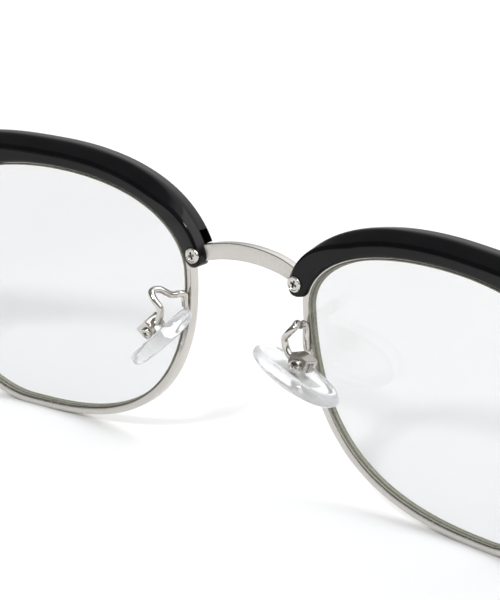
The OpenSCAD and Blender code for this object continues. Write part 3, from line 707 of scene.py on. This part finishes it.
def arm_piece(side_name, side):
    """A round wire whose foot narrows along the eyewire, where it is soldered."""
    at = Vector((0, FRONT_Y, LENS_LOW))
    low = FOOT_LOW[side]
    points = [Vector((10.8, 2.4, low)) + at, Vector((10.75, 2.5, (low + ARM[0][2]) / 2)) + at]
    for p in ARM:
        shift = Vector((0, 0.6, -1)) * ARM_SHIFT * side * rise(p[1], 2.3, 3.2)
        points.append(Vector(p) + shift + at)
    points.append(pad_place(side) @ Vector((0.45, 0, BOX_HALF + 0.3)))
    path = smooth_path(points, 14) + [pad_place(side) @ Vector((0.45, 0, BOX_HALF))]
    around, r = 20, ARM_DIA / 2
    rings = []
    for i, p in enumerate(path):
        t = (path[min(i + 1, len(path) - 1)] - path[max(i - 1, 0)]).normalized()
        e = t.cross(Vector((1, 0, 0))).normalized()
        f = t.cross(e)
        end = min(1.0, 0.45 + 0.55 * i / 6)
        angles = [math.tau * k / around for k in range(around)]
        rings.append([p + end * r * (e * math.cos(a) + f * math.sin(a)) for a in angles])
    obj = mesh_object("pad_wire_" + side_name, [swept(rings)], side)
    tidy_shading(obj, 50)
    finish_piece(obj, "pad_arm_" + side_name, "front", "metal", FINE_NICKEL)


# ---- pad boxes ----
CHEEK_IN, CHEEK_OUT, WEB_IN, WEB_OUT, CHEEK_LOW = 0.65, 1.25, 0.95, 1.35, 0.85


def prism_y(outline, lo, hi):
    """The outline in X and Z, drawn from lo to hi along Y."""
    return swept([[Vector((q.x, y, q.y)) for q in outline] for y in (lo, hi)])


def pad_box_piece(side_name, side):
    """Two cheeks round the pad's tongue, joined by a web, pierced by the screw."""
    place = pad_place(side)
    shell = rounded([(-CHEEK_LOW, -1.1, 0.9), (-CHEEK_LOW, 1.1, 0.7), (0.0, BOX_HALF, 0.3),
                     (WEB_OUT, BOX_HALF, 0.35), (WEB_OUT, -BOX_HALF, 0.35), (0.0, -BOX_HALF, 0.3)], 6)
    obj = mesh_object("pad_yoke_" + side_name, [moved(prism_y(shell, -CHEEK_OUT, CHEEK_OUT), place)], side)
    hollow = [box_solid((-CHEEK_LOW - 1, -CHEEK_IN, -BOX_HALF - 1), (WEB_IN, CHEEK_IN, BOX_HALF - 0.35)),
              box_solid((-CHEEK_LOW - 1, -CHEEK_IN, 0), (-0.05, CHEEK_IN, BOX_HALF + 1))]
    cut(obj, [mesh_object("hollow", [moved(h, place)], side) for h in hollow])
    bevel(obj, 0.09, 3)
    bake_modifiers(obj)
    tidy_shading(obj, 40)
    finish_piece(obj, "pad_box_" + side_name, "front", "metal", FINE_NICKEL)


# ---- nose pads ----
PAD_DROP, PAD_AROUND = 1.9, 96
# Height across the pad, as a share of half its thickness, and size of the outline there
PAD_PROFILE = [(-1.0, 0.03), (-0.99, 0.25), (-0.95, 0.45), (-0.86, 0.65), (-0.70, 0.81), (-0.45, 0.92),
               (-0.12, 0.985), (0.2, 1.0), (0.5, 0.985), (0.78, 0.945), (0.95, 0.895), (1.0, 0.85),
               (0.97, 0.81), (0.88, 0.785), (0.70, 0.765), (0.60, 0.745), (0.565, 0.70), (0.565, 0.35),
               (0.565, 0.03)]


def nose_pad_piece(side_name, side):
    """An oval of clear silicone: domed towards the nose, with a raised rim on its mount side."""
    place = pad_place(side) @ Matrix.Translation((-PAD_DROP, 0, 0))
    rings = []
    for share, f in PAD_PROFILE:
        ring = []
        for k in range(PAD_AROUND):
            c, d = math.cos(math.tau * k / PAD_AROUND), math.sin(math.tau * k / PAD_AROUND)
            ring.append(place @ Vector((share * PAD_THICK / 2,
                                        f * PAD_WID / 2 * math.copysign(abs(c) ** 0.95, c),
                                        f * PAD_LEN / 2 * math.copysign(abs(d) ** 0.97, d))))
        rings.append(ring)
    obj = mesh_object("silicone_pad_" + side_name, [swept(rings)], side)
    tidy_shading(obj, 60)
    finish_piece(obj, "nose_pad_" + side_name, "pad_" + side_name, "silicone", LOOK["silicone"])


# ---- build all ----
bridge_piece()
for side_name, side in SIDES.items():
    lens_piece(side_name, side)
    eyewire_piece(side_name, side)
    brow_piece(side_name, side)
    temple_piece(side_name, side)
    arm_piece(side_name, side)
    pad_box_piece(side_name, side)
    nose_pad_piece(side_name, side)
    screw_piece("brow_pin_nose_" + side_name, "brow_screw_nose_" + side_name, "front",
                1.1, 0.4, 0.59, 1.95, rearward(NOSE_SCREW), side)
    screw_piece("brow_pin_side_" + side_name, "brow_screw_side_" + side_name, "front",
                0.95, 0.35, 0.59, 3.6, rearward(SIDE_SCREW), side)
    screw_piece("pad_pin_" + side_name, "pad_screw_" + side_name, "front", 0.8, 0.4, 0.4, 2 * CHEEK_OUT,
                pad_place(side) @ Matrix.Translation((0, CHEEK_OUT, 0))
                @ Matrix.Rotation(-math.pi / 2, 4, "X"), side)
    hinge_top = Matrix.Translation((HINGE_AT[0], HINGE_AT[1] + FRONT_Y, HINGE_Z + 2.0 + 0.95 + LENS_LOW))
    screw_piece("hinge_pin_" + side_name, "hinge_screw_" + side_name, "front",
                1.1, 0.4, 0.7, 5.9, hinge_top, side)
    lock_low = Matrix.Translation((LOCK_X[0] + 2.2, LOCK_Y + FRONT_Y, LOCK_Z - 0.08 - LOCK_TALL + LENS_LOW))
    screw_piece("lock_pin_" + side_name, "rim_lock_screw_" + side_name, "front",
                0.85, 0.35, 0.5, 4.2, lock_low @ Matrix.Rotation(math.pi, 4, "X"), side)
    for part in ("rim_lock_upper_", "rim_lock_lower_", "endpiece_", "hinge_front_", "hinge_temple_",
                 "pad_insert_"):
        bevel(frame["nodes"][part + side_name], 0.12, 3)


# ---- camera, floor and light ----
def aim(obj, forward, roll=0.0):
    obj.rotation_euler = (forward.to_track_quat("-Z", "Y").to_matrix().to_4x4()
                          @ Matrix.Rotation(roll, 4, "Z")).to_euler()


YAW, PITCH, ROLL = math.radians(42.84), math.radians(18.26), math.radians(-0.29)
VIEW_DIR = Vector((math.sin(YAW) * math.cos(PITCH), -math.cos(YAW) * math.cos(PITCH), -math.sin(PITCH)))
camera = bpy.data.objects.new("camera", bpy.data.cameras.new("camera"))
camera.data.sensor_width = 36
camera.data.lens = 208.2
# The near temple isn't in this view, so drawing starts beyond it
camera.data.clip_start = 0.40
camera.location = (-0.2915, 0.3158 + FRONT_Y * MM, 0.1653)
aim(camera, VIEW_DIR, ROLL)
bpy.context.scene.collection.objects.link(camera)
bpy.context.scene.camera = camera

floor_mesh = bpy.data.meshes.new("floor")
half = 3.0
floor_mesh.from_pydata([(-half, -half, 0), (half, -half, 0), (half, half, 0), (-half, half, 0)], [],
                       [(0, 1, 2, 3)])
floor = bpy.data.objects.new("floor", floor_mesh)
floor.location.z = cad_box[0][2] - 0.00002
bpy.context.scene.collection.objects.link(floor)
paper, paper_nodes, paper_links, paper_shader, paper_coord = material("paper_white", Roughness=0.9)
paper_links.new(tint(paper_nodes, paper_links, noise(paper_nodes, paper_links, paper_coord, 40, 3),
                     (0.915, 0.915, 0.915), (0.92, 0.92, 0.92)), paper_shader.inputs["Base Color"])
floor_mesh.materials.append(paper)


def panel(name, at, target, size, watts, colour=(1, 1, 1)):
    """A large soft lamp."""
    lamp = bpy.data.objects.new(name, bpy.data.lights.new(name, "AREA"))
    lamp.data.shape = "RECTANGLE"
    lamp.data.size, lamp.data.size_y = size
    lamp.data.energy = watts
    lamp.data.color = colour
    lamp.location = at
    aim(lamp, (Vector(target) - Vector(at)).normalized())
    bpy.context.scene.collection.objects.link(lamp)


panel("key", (-0.25, 0.76, 0.83), (0, -0.07, 0), (0.16, 0.16), 5.35)
panel("side", (-0.9, -0.45, 1.1), (0, -0.05, 0), (1.3, 1.3), 7.35)

world = bpy.data.worlds.new("studio")
bpy.context.scene.world = world
world.use_nodes = True
sky, sky_links = world.node_tree.nodes, world.node_tree.links
direction = sky.new("ShaderNodeTexCoord")
toward = sky.new("ShaderNodeVectorMath")
toward.operation = "DOT_PRODUCT"
toward.inputs[1].default_value = (-0.287, -0.41, 0.0)
centre = sky.new("ShaderNodeMath")
centre.inputs[1].default_value = 0.5
ramp = sky.new("ShaderNodeValToRGB")
sky_links.new(direction.outputs["Generated"], toward.inputs[0])
sky_links.new(toward.outputs["Value"], centre.inputs[0])
sky_links.new(centre.outputs["Value"], ramp.inputs["Fac"])
# The studio is bright before the eyeglasses and dark behind them, and dimmer near the floor
ramp.color_ramp.elements[0].position = 0.375
ramp.color_ramp.elements[0].color = (0.22, 0.22, 0.225, 1)
ramp.color_ramp.elements[1].position = 0.575
ramp.color_ramp.elements[1].color = (1.0, 1.0, 1.0, 1)
split = sky.new("ShaderNodeSeparateXYZ")
low_sky = sky.new("ShaderNodeMapRange")
low_sky.inputs["From Min"].default_value = 0.2
low_sky.inputs["From Max"].default_value = 0.5
low_sky.inputs["To Min"].default_value = 0.4
shade = sky.new("ShaderNodeVectorMath")
shade.operation = "SCALE"
sky_links.new(direction.outputs["Generated"], split.inputs["Vector"])
sky_links.new(split.outputs["Z"], low_sky.inputs["Value"])
sky_links.new(ramp.outputs["Color"], shade.inputs[0])
sky_links.new(low_sky.outputs["Result"], shade.inputs["Scale"])
sky_links.new(shade.outputs["Vector"], sky["Background"].inputs["Color"])
sky["Background"].inputs["Strength"].default_value = 1.43

bpy.context.scene.view_settings.view_transform = "Standard"
